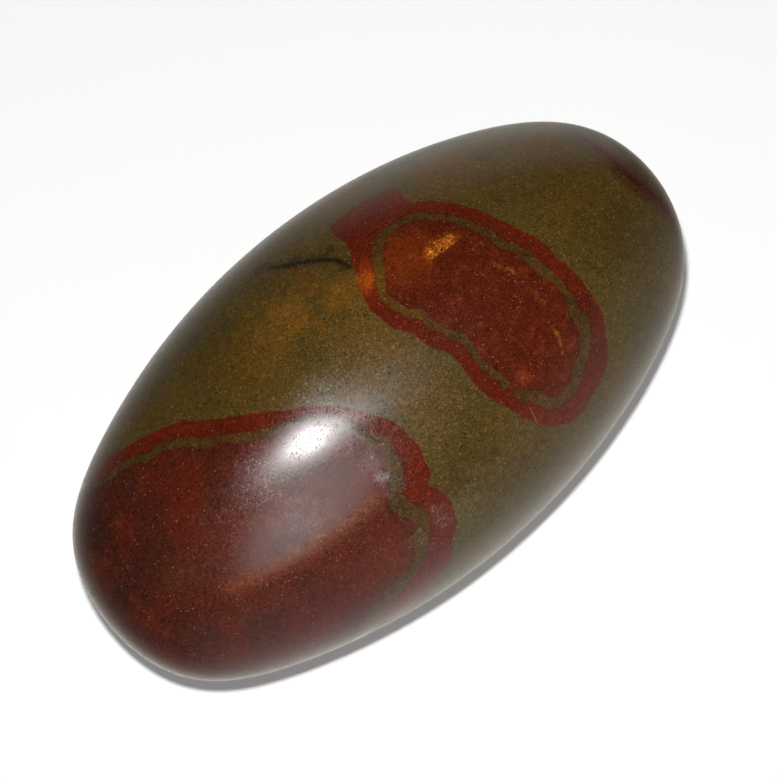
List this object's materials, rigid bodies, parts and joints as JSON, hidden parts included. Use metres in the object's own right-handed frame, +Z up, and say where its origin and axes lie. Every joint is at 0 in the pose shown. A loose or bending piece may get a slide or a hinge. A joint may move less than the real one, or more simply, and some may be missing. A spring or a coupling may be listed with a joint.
{
  "type": "shiva lingam stone",
  "caption": "Egg-shaped river-tumbled stone, polished smooth, blunter at one end, lying on its side on a small worn flat.",
  "frame": {"origin": "under the middle of the stone's box, on the surface that it rests on", "axes": "+X along the stone to its narrower end, +Z up and across its least thickness"},
  "size_m": [0.1006, 0.055, 0.0508],
  "materials": {
    "stone": "polished, with olive host stone, brick-red patches edged in red, and a soft waxy gloss"
  },
  "bodies": {
    "root": {"stone": "stone"}
  },
  "joints": []
}
